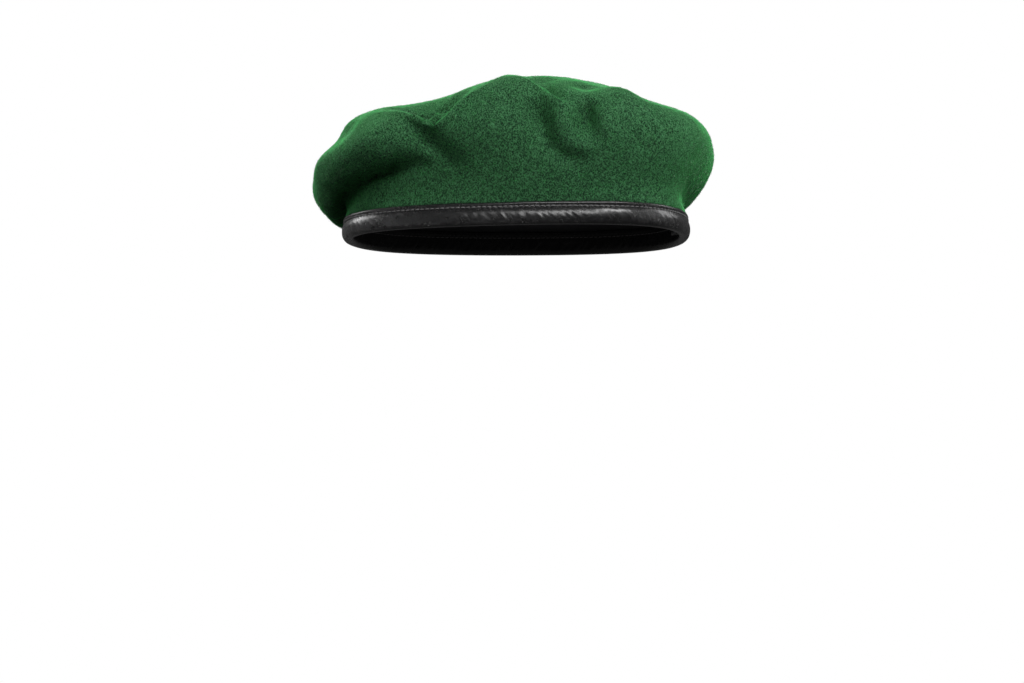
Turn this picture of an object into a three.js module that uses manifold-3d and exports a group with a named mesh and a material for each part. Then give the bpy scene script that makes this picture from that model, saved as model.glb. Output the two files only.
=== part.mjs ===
// A green wool military beret with a black leather binding, worn with its crown pulled down to the right.
// Millimetres, +Z up. The origin is the centre of the head opening, in the plane that the binding stands on.
// The wearer's face looks along -Y and the wearer's left side is +X.
import * as THREE from "three";
import { mergeVertices } from "three/addons/utils/BufferGeometryUtils.js";
import Module from "manifold-3d";

const wasm = await Module();
wasm.setup();

// Head opening: the line that the middle of the felt follows inside the binding.
const HEAD_HALF_LENGTH = 103.4;
const HEAD_HALF_WIDTH = 77.4;
const HEAD_SQUARENESS = 0.043;
const HEAD_EGG = 0.12; // how much wider the back of the head is than its middle

// Materials as sheets: how thick each one is, and the air between neighbours.
const FELT_THICK = 2.4;
const LINING_THICK = 0.6;
const LEATHER_THICK = 1.1;
const THREAD_THICK = 0.5;
const LABEL_THICK = 0.5;
const GAP = 0.3;

// Leather binding, folded round the felt's edge.
const BINDING_OUTER_UP = 13.5;
const BINDING_INNER_UP = 14.8;
const STITCH_UP = 10.8;
const FELT_EDGE_UP = 5.6;
const ROLL_BULGE = 0.6; // how far the rolled lower part stands out beyond the stitched strip
const ROLL_UP = 5;
const FOOT_THICK = 1.2;
const JOIN_GAP = 0.8; // between the two ends of the strip, at the back

// Draw tape in the fold of the binding, the slot it comes in by at the back, and the knot it is tied in.
const TAPE_HALF_WIDE = 1.2;
const TAPE_HALF_TALL = 1.7;
const TAPE_UP = 3.2;
const TAPE_OPENING = 7.2; // between the two places where the tape turns inwards
const SLOT_WIDE = 8;
const SLOT_UP = [2.2, 6.2];
const KNOT_HALF_SIZE = [4.2, 2, 3];
const KNOT_UP = 4.4;
const NECK_WIDE = 5.2;
const NECK_UP = [3, 5.4];
const TAIL_SIZE = [15, 0.9, 4.4];
const TAIL_TILT = 0.22;
const TAIL_APART = 9;
const TAIL_UP = 5.9;

// Round the ring, every piece has the same stations, so that neighbours nest.
const SEGMENTS = 52;
const BACK = Math.PI / 2;
const FULL_TURN = 2 * Math.PI;

// Crown outline at eight bearings, from band to crown edge: out from the head line, up from the base.
const CROWN_SECTIONS = [
  [[3, 27], [10, 46], [10, 66], [2, 84], [-18, 91]], // left
  [[2, 26], [9, 40], [14, 58], [7, 73], [-16, 79]], // back left
  [[-1, 22], [8, 33], [20, 54], [11, 72], [-12, 76]], // back
  [[3, 20], [16, 20], [30, 38], [22, 62], [-8, 76]], // back right
  [[8, 18], [28, 2], [53, 24], [34, 55], [-6, 76]], // right
  [[6, 18], [18, 8], [35, 28], [20, 58], [-14, 77]], // front right
  [[2, 16], [11, 13], [25, 33], [12, 61], [-8, 80]], // front
  [[-1, 26], [8, 30], [26, 44], [14, 66], [-8, 77]], // front left
];
const CROWN_HALFWAY_UP = [94, 91, 92, 93, 91, 87, 86, 86]; // the same bearings, half way in to the pole
const CROWN_POLE = [0, 20, 98];

// Hollows pressed into the crown: centre, way along, radius along and across, and the push.
const CROWN_HOLLOWS = [
  { at: [64, -48, 86], along: [0.8, 0.1, 0.6], radii: [34, 15], push: [-6, 2, -20] },
  { at: [92, -72, 34], along: [-0.55, 0.83, 0.05], radii: [28, 8], push: [-6, 0, 3] },
  { at: [74, 16, 74], along: [0.4, 0.1, 1], radii: [18, 8], push: [-6, 0, -2] },
  { at: [68, 44, 76], along: [0.4, 0, 1], radii: [16, 8], push: [-6, 0, -2] },
];

// Lining, the same all the way round: out and up from the band to the seam, then the tip.
const LINING_SIDE = [[-1.8, 6], [-1.8, 12], [-1.8, 18], [-5, 30], [-8, 50]];
const LINING_TIP = [[-9, 58], [-17, 69], [-32, 75]];
const LINING_HALFWAY_UP = 79;
const LINING_POLE = [0, 12, 84];
const LINING_HANG = 8; // how far under the crown the lining hangs, where the crown is pressed in

const EYELET_BEARINGS = [172, 188];
const EYELET_SHARE = 0.4; // how far up the crown's outline the eyelets are
const EYELET_HOLE_RADIUS = 3;
const EYELET_CLEAR = 3 * GAP; // the felt bends under the flange, which is flat
const BARREL_RADII = [1.9, 2.5];
const FLANGE_RADIUS = 4.8;

// Sewn to the lining: the lozenge on its tip and the labels on its side, by bearing and half angle.
const GUARD_FROM_SHARE = 0.8;
const GUARD_CORNER = 1.3; // 1 would be a diamond and 2 an ellipse
const LABEL_CORNER = 8;
const LABEL_SHARE = 0.36;
const LABEL_HALF_SHARE = 0.055;
const LABELS = [
  { name: "size_label", angle: BACK - 0.02, halfAngle: 0.13 },
  { name: "care_label", angle: BACK + 0.42, halfAngle: 0.09 },
];

function material(color, roughness, metalness = 0) {
  return new THREE.MeshStandardMaterial({ color, roughness, metalness });
}

const FELT = material(0x2b5737, 0.95);
const LEATHER = material(0x19191b, 0.4);
const SATIN = material(0x15161a, 0.45);
const TAPE = material(0x101012, 0.85);
const THREAD = material(0x1d1c1e, 0.6);
const VINYL = material(0x2a2b2e, 0.25);
const LABEL = material(0xd8d6cc, 0.8);
const BLACKENED = material(0x222224, 0.35, 0.8);

const beret = new THREE.Group();

function addPart(name, geometry, finish) {
  const mesh = new THREE.Mesh(geometry, finish);
  mesh.name = name;
  beret.add(mesh);
  return mesh;
}

// --- Curves and surfaces -------------------------------------------------------------------------

// The egg-shaped head line, from the wearer's left towards the back.
function headLine(angle) {
  const scale = 1 - HEAD_SQUARENESS;
  const across = (Math.cos(angle) - HEAD_SQUARENESS * Math.cos(3 * angle)) / scale;
  const along = (Math.sin(angle) + HEAD_SQUARENESS * Math.sin(3 * angle)) / scale;
  const egg = 1 + HEAD_EGG * Math.sin(angle);
  return new THREE.Vector2(HEAD_HALF_WIDTH * across * egg, HEAD_HALF_LENGTH * along);
}

// The outward direction of the head line.
function headNormal(angle) {
  const step = 1e-4;
  const way = headLine(angle + step).sub(headLine(angle - step));
  return new THREE.Vector2(way.y, -way.x).normalize();
}

// A point that stands out from the head line and up from the base.
function besideHead(angle, out, up) {
  const p = headLine(angle).addScaledVector(headNormal(angle), out);
  return new THREE.Vector3(p.x, p.y, up);
}

// A smooth closed curve through values at equal bearings.
function around(values, angle) {
  const u = (((angle / FULL_TURN) % 1) + 1) * values.length;
  const i = Math.floor(u);
  const f = u - i;
  const [a, b, c, d] = [-1, 0, 1, 2].map((k) => values[(i + k + values.length) % values.length]);
  const bend = (2 * a - 5 * b + 4 * c - d) * f * f + (-a + 3 * b - 3 * c + d) * f * f * f;
  return 0.5 * (2 * b + (c - a) * f + bend);
}

// A uniform cubic B-spline over a row of control points, share 0 to 1.
function bSpline(points, share) {
  const spans = points.length - 3;
  const at = Math.min(Math.max(share, 0), 1) * spans;
  const i = Math.min(Math.floor(at), spans - 1);
  const f = at - i;
  const weights = [
    (1 - f) ** 3 / 6,
    (3 * f ** 3 - 6 * f ** 2 + 4) / 6,
    (-3 * f ** 3 + 3 * f ** 2 + 3 * f + 1) / 6,
    f ** 3 / 6,
  ];
  const sum = new THREE.Vector3();
  weights.forEach((w, k) => sum.addScaledVector(points[i + k], w));
  return sum;
}

// Adds what closes a dome at its pole: the pole, and points level with it on both sides, so it has no peak.
function closeAtPole(rows, pole) {
  const nearness = 0.45; // how far out the level part reaches, towards the last row
  const near = pole.clone().lerp(rows[rows.length - 1], nearness).setZ(pole.z);
  const beyond = pole.clone().lerp(near, -1);
  return [...rows, near, pole.clone(), beyond];
}

function hollowsAt(point) {
  const shift = new THREE.Vector3();
  for (const { at, along, radii, push } of CROWN_HOLLOWS) {
    const away = point.clone().sub(new THREE.Vector3(...at));
    const way = new THREE.Vector3(...along).normalize();
    const lengthwise = away.dot(way);
    const crosswise = away.addScaledVector(way, -lengthwise).length();
    const depth = Math.exp(-((lengthwise / radii[0]) ** 2) - (crosswise / radii[1]) ** 2);
    shift.addScaledVector(new THREE.Vector3(...push), depth);
  }
  return shift;
}

// The middle of the felt: share 0 at its edge in the binding, 1 at the crown's pole.
function crownPoint(angle, share) {
  const pole = new THREE.Vector3(...CROWN_POLE);
  const rows = [2, FELT_EDGE_UP, 9.2, 12.8, 15.6].map((up) => besideHead(angle, 0, up));
  const sections = CROWN_SECTIONS[0].map((_, k) => {
    const out = around(CROWN_SECTIONS.map((s) => s[k][0]), angle);
    const up = around(CROWN_SECTIONS.map((s) => s[k][1]), angle);
    return besideHead(angle, out, up);
  });
  const line = headLine(angle);
  const halfwayUp = around(CROWN_HALFWAY_UP, angle);
  const halfway = new THREE.Vector3((line.x + pole.x) / 2, (line.y + pole.y) / 2, halfwayUp);
  const point = bSpline(closeAtPole([...rows, ...sections, halfway], pole), share);
  return point.add(hollowsAt(point));
}

// The middle of the lining: share 0 at the band, 1 at its pole. Side and tip meet at LINING_SEAM.
function liningPoint(angle, share) {
  const pole = new THREE.Vector3(...LINING_POLE);
  const side = [[-1.8, 1], ...LINING_SIDE, ...LINING_TIP].map(([out, up]) => besideHead(angle, out, up));
  const line = headLine(angle);
  const halfway = new THREE.Vector3((line.x + pole.x) / 2, (line.y + pole.y) / 2, LINING_HALFWAY_UP);
  const point = bSpline(closeAtPole([...side, halfway], pole), share);
  return point.add(hollowsAt(point.clone().setZ(point.z + LINING_HANG)));
}

// The direction that a surface faces, outwards.
function facing(surface, angle, share) {
  if (share > 0.999) return new THREE.Vector3(0, 0, 1);
  const step = 1e-3;
  const round = surface(angle + step, share).sub(surface(angle - step, share));
  const up = surface(angle, share + step).sub(surface(angle, share - step));
  return round.cross(up).normalize();
}

// --- Making pieces -------------------------------------------------------------------------------

// Moves every vertex of a geometry by a function of its position.
function reshape(geometry, move) {
  const position = geometry.getAttribute("position");
  const p = new THREE.Vector3();
  for (let i = 0; i < position.count; i++) {
    const to = move(p.fromBufferAttribute(position, i).clone());
    position.setXYZ(i, to.x, to.y, to.z);
  }
  geometry.computeVertexNormals();
  return geometry;
}

// The bearing of a point on a lathe's round geometry, whose axis is Y.
function bearing(p) {
  return Math.atan2(p.z, p.x);
}

// A ring with a section of [out, up] points, bent to the head line.
function headRing(section) {
  const wheel = 500; // the round ring's radius before it is bent
  const profile = [...section, section[0]].map(([out, up]) => new THREE.Vector2(wheel + out, up)).reverse();
  const round = new THREE.LatheGeometry(profile, SEGMENTS);
  return reshape(round, (p) => besideHead(bearing(p), Math.hypot(p.x, p.z) - wheel, p.y));
}

// A disc of sheet with its faces `thick` apart, from share `from` at the rim to the pole.
function sheetDome(surface, from, shares, thick, offset = 0) {
  const steps = Array.from({ length: shares }, (_, i) => i / shares);
  const outer = [...steps, 1].map((s) => new THREE.Vector2(1 - s, 1));
  const inner = [...steps, 1].map((s) => new THREE.Vector2(1 - s, -1));
  const blank = new THREE.LatheGeometry([...outer.reverse(), ...inner], SEGMENTS);
  return reshape(blank, (p) => {
    const share = from + (1 - from) * (1 - Math.hypot(p.x, p.z));
    const middle = surface(bearing(p), share);
    return middle.addScaledVector(facing(surface, bearing(p), share), offset + (p.y * thick) / 2);
  });
}

// A patch of sheet laid on a surface: a disc blank whose rim is squared off by `corner`, 2 for an ellipse.
function sheetPatch(surface, centre, halfSize, corner, thick, offset) {
  const rings = [1, 0.85, 0.6, 0.3, 0];
  const outer = rings.map((r) => new THREE.Vector2(r, 1));
  const inner = rings.map((r) => new THREE.Vector2(r, -1));
  const blank = new THREE.LatheGeometry([...outer.reverse(), ...inner], 24);
  return reshape(blank, (p) => {
    const way = bearing(p);
    const [c, s] = [Math.abs(Math.cos(way)), Math.abs(Math.sin(way))];
    const reach = Math.hypot(p.x, p.z) / (c ** corner + s ** corner) ** (1 / corner);
    const angle = centre[0] + halfSize[0] * reach * Math.cos(way);
    const share = centre[1] + halfSize[1] * reach * Math.sin(way);
    const lift = offset + (p.y * thick) / 2;
    return surface(angle, share).addScaledVector(facing(surface, angle, share), lift);
  });
}

function solid(geometry) {
  const bare = new THREE.BufferGeometry();
  bare.setAttribute("position", geometry.getAttribute("position").clone());
  bare.setIndex(geometry.getIndex());
  const merged = mergeVertices(bare, 1e-3);
  const vertProperties = new Float32Array(merged.getAttribute("position").array);
  const triVerts = new Uint32Array(merged.getIndex().array);
  return new wasm.Manifold(new wasm.Mesh({ numProp: 3, vertProperties, triVerts }));
}

function geometryOf(manifold) {
  const mesh = manifold.getMesh();
  const geometry = new THREE.BufferGeometry();
  geometry.setAttribute("position", new THREE.BufferAttribute(mesh.vertProperties, 3));
  geometry.setIndex(new THREE.BufferAttribute(mesh.triVerts, 1));
  return geometry;
}

// A block from its lowest and highest corner, to cut with.
function block(low, high) {
  const size = high.map((v, k) => v - low[k]);
  const middle = high.map((v, k) => (v + low[k]) / 2);
  return solid(new THREE.BoxGeometry(...size).translate(...middle));
}

// --- Eyelets -------------------------------------------------------------------------------------

// Turns and moves a Y-axis geometry so that it stands on the felt's middle at an eyelet.
function atEyelet(geometry, degrees) {
  const angle = THREE.MathUtils.degToRad(degrees);
  const way = facing(crownPoint, angle, EYELET_SHARE);
  const turn = new THREE.Quaternion().setFromUnitVectors(new THREE.Vector3(0, 1, 0), way);
  const place = crownPoint(angle, EYELET_SHARE);
  return geometry.applyQuaternion(turn).translate(place.x, place.y, place.z);
}

function eyeletHole(degrees) {
  const drill = new THREE.CylinderGeometry(EYELET_HOLE_RADIUS, EYELET_HOLE_RADIUS, 12, 20);
  return solid(atEyelet(drill, degrees));
}

// A rolled barrel through the felt with a domed flange outside.
function eyelet(degrees) {
  const face = FELT_THICK / 2 + EYELET_CLEAR;
  const [inner, outer] = BARREL_RADII;
  const section = [
    [inner, face + 0.9],
    [inner, -face - 1.2],
    [outer, -face - 1.2],
    [outer, face],
    [FLANGE_RADIUS, face],
    [FLANGE_RADIUS - 0.4, face + 0.6],
    [outer + 0.3, face + 1.1],
    [inner, face + 0.9],
  ].map(([r, y]) => new THREE.Vector2(r, y));
  return atEyelet(new THREE.LatheGeometry(section, 20), degrees);
}

// The flat washer that the barrel is rolled over, inside.
function washer(degrees) {
  const face = -FELT_THICK / 2 - EYELET_CLEAR;
  const thick = 0.5;
  const inner = BARREL_RADII[1] + GAP;
  const section = [
    [inner, face],
    [inner, face - thick],
    [FLANGE_RADIUS, face - thick],
    [FLANGE_RADIUS, face],
    [inner, face],
  ].map(([r, y]) => new THREE.Vector2(r, y));
  return atEyelet(new THREE.LatheGeometry(section, 20), degrees);
}

// --- The pieces ----------------------------------------------------------------------------------

function addFelt() {
  const crown = solid(sheetDome(crownPoint, 0, 22, FELT_THICK));
  const holes = EYELET_BEARINGS.map(eyeletHole);
  addPart("felt_crown", geometryOf(holes.reduce((body, hole) => body.subtract(hole), crown)), FELT);
}

// One strip of leather: an outer leg, a rolled foot that the beret stands on, and an inner leg at the head.
function addBinding() {
  const outerFace = FELT_THICK / 2 + GAP;
  const innerFace = -FELT_THICK / 2 - GAP - LINING_THICK - GAP;
  const rollTop = 2 * ROLL_UP;
  const section = [
    [outerFace, BINDING_OUTER_UP],
    [outerFace, rollTop],
    [outerFace + ROLL_BULGE, ROLL_UP],
    [outerFace, FOOT_THICK],
    [innerFace + 0.9, FOOT_THICK],
    [innerFace, 2.8],
    [innerFace, BINDING_INNER_UP],
    [innerFace - LEATHER_THICK, BINDING_INNER_UP],
    [innerFace - LEATHER_THICK, 2.2],
    [innerFace + 0.2, 0],
    [outerFace + 0.1, 0],
    [outerFace + LEATHER_THICK + 0.3, 1.8],
    [outerFace + LEATHER_THICK + ROLL_BULGE, ROLL_UP],
    [outerFace + LEATHER_THICK, rollTop],
    [outerFace + LEATHER_THICK, BINDING_OUTER_UP],
  ];
  const strip = solid(headRing(section));
  const back = headLine(BACK).y;
  const reach = 8; // the cuts start and end well clear of the strip
  const [slotLow, slotHigh] = SLOT_UP;
  const join = block([-JOIN_GAP / 2, back - reach, -1], [JOIN_GAP / 2, back + reach, 20]);
  const slotEnd = back + innerFace + 0.5;
  const tapeSlot = block([-SLOT_WIDE / 2, back - reach, slotLow], [SLOT_WIDE / 2, slotEnd, slotHigh]);
  addPart("leather_binding", geometryOf(strip.subtract(join).subtract(tapeSlot)), LEATHER);
}

// The two threads of the row of lockstitch that holds the binding: the needle's outside, the bobbin's inside.
function addThreads() {
  const outerFace = FELT_THICK / 2 + GAP + LEATHER_THICK + GAP;
  const innerFace = -FELT_THICK / 2 - GAP - LINING_THICK - GAP - LEATHER_THICK - GAP - THREAD_THICK;
  for (const [name, out] of [["needle_thread", outerFace], ["bobbin_thread", innerFace]]) {
    const section = [
      [out, STITCH_UP],
      [out + THREAD_THICK, STITCH_UP],
      [out + THREAD_THICK, STITCH_UP + THREAD_THICK],
      [out, STITCH_UP + THREAD_THICK],
    ];
    addPart(name, headRing(section), THREAD);
  }
}

// The tape that tightens the band runs in the fold of the binding, under the felt's edge.
function addDrawTape() {
  const sides = 8;
  const out = -0.2;
  const section = Array.from({ length: sides }, (_, i) => {
    const a = (i / sides) * FULL_TURN;
    return [out + TAPE_HALF_WIDE * Math.cos(a), TAPE_UP + TAPE_HALF_TALL * Math.sin(a)];
  });
  const back = headLine(BACK).y;
  const opening = block([-TAPE_OPENING / 2, back - 6, 0.2], [TAPE_OPENING / 2, back + 6, 8]);
  addPart("draw_tape", geometryOf(solid(headRing(section)).subtract(opening)), TAPE);
}

// Its two ends come in through the slot at the back and are tied in a flat knot against the inner leg.
function addTapeKnot() {
  const back = headLine(BACK).y;
  const inside = back - FELT_THICK / 2 - LINING_THICK - LEATHER_THICK - 3 * GAP;
  const ball = new THREE.SphereGeometry(1, 16, 10).scale(...KNOT_HALF_SIZE);
  const knot = ball.translate(0, inside - KNOT_HALF_SIZE[1] - 0.4, KNOT_UP);
  const neck = block([-NECK_WIDE / 2, inside - 3, NECK_UP[0]], [NECK_WIDE / 2, back + 0.4, NECK_UP[1]]);
  const tails = [-1, 1].map((side) => {
    const tail = new THREE.BoxGeometry(...TAIL_SIZE).rotateY(side * TAIL_TILT);
    return solid(tail.translate(side * TAIL_APART, inside - 2.2, TAIL_UP));
  });
  const all = tails.reduce((body, tail) => body.add(tail), solid(knot).add(neck));
  addPart("draw_tape_knot", geometryOf(all), TAPE);
}

// A black satin side in two halves, and an oval tip.
const LINING_SPANS = LINING_SIDE.length + LINING_TIP.length + 2;
const LINING_SEAM = (LINING_SIDE.length - 0.6) / LINING_SPANS;

function addLining() {
  const steps = Array.from({ length: 8 }, (_, i) => i / 7);
  const wheel = 2; // keeps the blank's radius positive
  const outer = steps.map((s) => new THREE.Vector2(wheel - s, 1));
  const inner = steps.map((s) => new THREE.Vector2(wheel - s, -1));
  const blank = new THREE.LatheGeometry([...outer.reverse(), ...inner, outer[0]], SEGMENTS);
  const whole = reshape(blank, (p) => {
    const share = (LINING_SEAM - 0.01) * (wheel - Math.hypot(p.x, p.z));
    const middle = liningPoint(bearing(p), share);
    return middle.addScaledVector(facing(liningPoint, bearing(p), share), (p.y * LINING_THICK) / 2);
  });
  const side = solid(whole);
  const far = 200; // beyond every edge of the beret
  const left = block([GAP, -far, -far], [far, far, far]);
  const right = block([-far, -far, -far], [-GAP, far, far]);
  addPart("lining_side_left", geometryOf(side.intersect(left)), SATIN);
  addPart("lining_side_right", geometryOf(side.intersect(right)), SATIN);
  addPart("lining_tip", sheetDome(liningPoint, LINING_SEAM, 8, LINING_THICK), SATIN);
}

// Sewn inside the crown: a vinyl sweat guard on the tip, a size label and a folded care label at the back.
function addLabels() {
  const under = -LINING_THICK / 2 - GAP;
  const guard = sheetDome(
    (angle, share) => {
      const [c, s] = [Math.abs(Math.cos(angle)), Math.abs(Math.sin(angle))];
      const lozenge = 1 / (c ** GUARD_CORNER + s ** GUARD_CORNER) ** (1 / GUARD_CORNER);
      return liningPoint(angle, 1 - (1 - share) * lozenge);
    }, GUARD_FROM_SHARE, 4, LABEL_THICK, under - LABEL_THICK / 2);
  addPart("sweat_guard", guard, VINYL);
  for (const { name, angle, halfAngle } of LABELS) {
    const centre = [angle, LABEL_SHARE];
    const halfSize = [halfAngle, LABEL_HALF_SHARE];
    const lift = under - LABEL_THICK / 2;
    addPart(name, sheetPatch(liningPoint, centre, halfSize, LABEL_CORNER, LABEL_THICK, lift), LABEL);
  }
}

function addEyelets() {
  const names = ["rear", "front"];
  EYELET_BEARINGS.forEach((degrees, i) => {
    addPart(`eyelet_${names[i]}`, eyelet(degrees), BLACKENED);
    addPart(`eyelet_washer_${names[i]}`, washer(degrees), BLACKENED);
  });
}

addFelt();
addBinding();
addThreads();
addDrawTape();
addTapeKnot();
addLining();
addLabels();
addEyelets();

export default beret;
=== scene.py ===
# A green wool beret with a black leather binding: the looks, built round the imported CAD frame.
import math
from functools import partial

import bmesh
import bpy
import numpy as np
from mathutils import Matrix, Vector


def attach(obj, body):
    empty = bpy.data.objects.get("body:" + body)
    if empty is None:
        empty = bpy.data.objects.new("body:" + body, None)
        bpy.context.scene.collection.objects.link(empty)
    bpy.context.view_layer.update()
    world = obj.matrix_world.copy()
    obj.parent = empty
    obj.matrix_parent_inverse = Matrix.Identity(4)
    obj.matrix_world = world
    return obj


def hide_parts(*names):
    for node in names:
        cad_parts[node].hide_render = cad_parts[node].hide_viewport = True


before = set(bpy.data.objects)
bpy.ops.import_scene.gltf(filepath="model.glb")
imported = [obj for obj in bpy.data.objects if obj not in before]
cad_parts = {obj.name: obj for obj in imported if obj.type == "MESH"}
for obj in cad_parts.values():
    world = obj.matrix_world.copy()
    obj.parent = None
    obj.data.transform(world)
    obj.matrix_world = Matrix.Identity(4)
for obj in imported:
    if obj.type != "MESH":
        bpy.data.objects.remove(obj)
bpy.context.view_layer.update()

MM = 0.001
TURN = 2 * math.pi
BACK = math.pi / 2  # the bearing of the back of the head; bearing 0 is the wearer's left

# --- Sizes, in millimetres, as the CAD part has them ---

HEAD_HALF_LENGTH = 103.4
HEAD_HALF_WIDTH = 77.4
HEAD_SQUARENESS = 0.043
HEAD_EGG = 0.12
FELT_THICK = 2.4
FELT_EDGE_UP = 5.6
LINING_THICK = 0.6
BAND_ROWS_UP = (2, FELT_EDGE_UP, 9.2, 12.8, 15.6)
STITCH_UP = 10.9

# Crown outline at eight bearings, band to edge: out from the head line and up from the base.
CROWN_SECTIONS = np.array([
    [[3, 27], [10, 46], [10, 66], [2, 84], [-18, 91]],  # left
    [[2, 26], [9, 40], [14, 58], [7, 73], [-16, 79]],  # back left
    [[-1, 22], [8, 33], [20, 54], [11, 72], [-12, 76]],  # back
    [[3, 20], [16, 20], [30, 38], [22, 62], [-8, 76]],  # back right
    [[8, 18], [28, 2], [53, 24], [34, 55], [-6, 76]],  # right
    [[6, 18], [18, 8], [35, 28], [20, 58], [-14, 77]],  # front right
    [[2, 16], [11, 13], [25, 33], [12, 61], [-8, 80]],  # front
    [[-1, 26], [8, 30], [26, 44], [14, 66], [-8, 77]],  # front left
], float)
CROWN_HALFWAY_UP = np.array([94, 91, 92, 93, 91, 87, 86, 86], float)
CROWN_POLE = np.array([0, 20, 98], float)

# Hollows and folds in the crown: centre, way along, radius along and across, and the push.
CROWN_FOLDS = [
    ((64, -48, 86), (0.8, 0.1, 0.6), (34, 15), (-6, 2, -20)),
    ((92, -72, 34), (-0.55, 0.83, 0.05), (28, 8), (-6, 0, 3)),
    ((74, 16, 74), (0.4, 0.1, 1), (18, 8), (-6, 0, -2)),
    ((68, 44, 76), (0.4, 0, 1), (16, 8), (-6, 0, -2)),
]

# Finer folds that the wearing leaves in the felt, in the same form.
WORN_FOLDS = [
    ((88, 17, 64), (0, 0.37, -0.93), (17, 8), (-8, 0, 0)),  # the long dent on the left
    ((87, 32, 41), (0, 0.8, -0.6), (15, 7), (-3.5, 0, 0)),  # its tail
    ((87, 46, 63), (0, 0.1, 1), (12, 7), (-9, 0, 0)),  # the dimple behind it
    ((88, 31.5, 60), (0, 0.1, 1), (15, 5.5), (3.4, 0, 0)),  # the ridge between the two
    ((86, 57, 60), (0, -0.2, 1), (13, 6), (3.2, 0, 0)),  # the ridge behind the dimple
    ((87, 44, 45), (0, 1, -0.1), (11, 5), (2.6, 0, 0)),  # the ridge below it
    ((80, -80, 52), (0, 1, 0), (15, 14), (3, -2, 0)),  # the lobe at the front
    ((86, -43, 45), (0, 0.65, -0.75), (20, 8), (-8, 0, 0)),  # the trough down from the valley
    ((86, -19, 58), (0, 0.5, 0.85), (22, 10), (3.5, 0, 0)),  # the flank of the peak
    ((76, -2, 87), (1, 0, 0), (16, 14), (0.5, 0, 2.4)),  # the peak
    ((30, -108, 60), (1, 0.2, 0), (44, 13), (0, 6, -2)),  # the front of the lobe, drawn in
    ((24, -112, 17), (1, 0, 0), (50, 11), (0, 5, 0)),  # its foot, drawn in too
    ((20, 108, 20), (1, 0, 0), (50, 9), (0, -4, 0)),  # the foot of the crown at the back
    ((70, 64, 84), (0.2, 0, 1), (26, 12), (0, 3, 3)),  # the shoulder at the back
    ((-92, -30, 50), (0, 0.3, 1), (26, 10), (6, 0, 0)),  # soft folds down the flop on the right
    ((-94, 26, 46), (0, -0.2, 1), (26, 11), (6, 0, 0)),
    ((-80, 74, 54), (0.2, 0, 1), (20, 10), (3, -4, 0)),
    ((-66, -72, 60), (0.3, 0.2, 1), (22, 10), (3, 4, -2)),
]

# The pocket over the binding from the front right to the left, and the crease it runs out in:
# bearing in degrees, out from the head line, up from the base, then the push outwards and upwards.
POCKET = np.array([
    (240, 9, 12, 0, 0),
    (250, 8, 13, 0, 4),
    (262, 6.5, 15, -1, 10),
    (276, 5.5, 18, -2, 12),
    (288, 5, 22, -4, 11),
    (300, 5.5, 27, -7, 7),
    (312, 7, 31, -9, 4),
    (324, 8.5, 33, -8, 2),
    (335, 9, 36, -3, 0),
    (342, 9, 38, 0, 0),
], float)
POCKET_RADIUS = 6

# The rim of the crown on the left, along the head and up, and how far the top steps in behind it.
RIM_ALONG = (-84, -76, -64, -54, -43, -35, -29, -22, -12, -1, 8, 14, 20, 27, 33, 40)
RIM_UP = (71, 70, 68, 64, 58, 64.5, 71.5, 77, 83, 90, 88, 84.5, 80, 74, 70, 68)
RIM_STEP = (0, 4, 10, 13, 13, 12, 10, 7, 3, 1, 4, 8, 9, 7, 3, 0)
RIM_SOFT, RIM_FADE = 2.4, 14

# Lining, the same all the way round: out and up from the band to its pole.
LINING_ROWS = [
    (-1.8, 1), (-1.8, 6), (-1.8, 12), (-1.8, 18), (-5, 30), (-8, 50), (-9, 58), (-17, 69), (-32, 75),
]
LINING_HALFWAY_UP = 79
LINING_POLE = np.array([0, 12, 84], float)
LINING_HANG = 8
LINING_SEAM = 4.4 / 9

EYELET_BEARINGS = {"rear": 172, "front": 188}
EYELET_SHARE = 0.4
EYELET_HOLE_RADIUS = 3

rng = np.random.default_rng(7)


# --- Curves and surfaces, as the CAD part has them ---

def unit(vectors):
    return vectors / np.linalg.norm(vectors, axis=-1, keepdims=True)


def lengths(line):
    """The length along a line at each of its points."""
    return np.concatenate([[0], np.cumsum(np.linalg.norm(np.diff(line, axis=0), axis=1))])


def closed(line):
    return np.vstack([line, line[:1]])


def grid_of(a, b):
    """Every pair of one value of a and one of b, the values of b running fastest."""
    return [x.ravel() for x in np.meshgrid(a, b, indexing="ij")]


def head_line(angle):
    scale = 1 - HEAD_SQUARENESS
    across = (np.cos(angle) - HEAD_SQUARENESS * np.cos(3 * angle)) / scale
    along = (np.sin(angle) + HEAD_SQUARENESS * np.sin(3 * angle)) / scale
    egg = 1 + HEAD_EGG * np.sin(angle)
    return np.stack([HEAD_HALF_WIDTH * across * egg, HEAD_HALF_LENGTH * along], -1)


def head_normal(angle):
    step = 1e-4
    way = head_line(angle + step) - head_line(angle - step)
    return unit(np.stack([way[..., 1], -way[..., 0]], -1))


def beside_head(angle, out, up):
    """Points that stand out from the head line and up from the base."""
    flat = head_line(angle) + head_normal(angle) * np.asarray(out)[..., None]
    height = np.broadcast_to(np.asarray(up, float), flat.shape[:-1])
    return np.concatenate([flat, height[..., None]], -1)


def through(four, f):
    """A cubic from the second of four points to the third, at shares f."""
    a, b, c, d = four
    bend = (2 * a - 5 * b + 4 * c - d) * f**2 + (-a + 3 * b - 3 * c + d) * f**3
    return 0.5 * (2 * b + (c - a) * f + bend)


def around(values, angle):
    """A smooth closed curve through values at equal bearings."""
    u = (angle / TURN) % 1 * len(values)
    i = np.floor(u).astype(int)
    return through([values[(i + k) % len(values)] for k in (-1, 0, 1, 2)], u - i)


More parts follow.
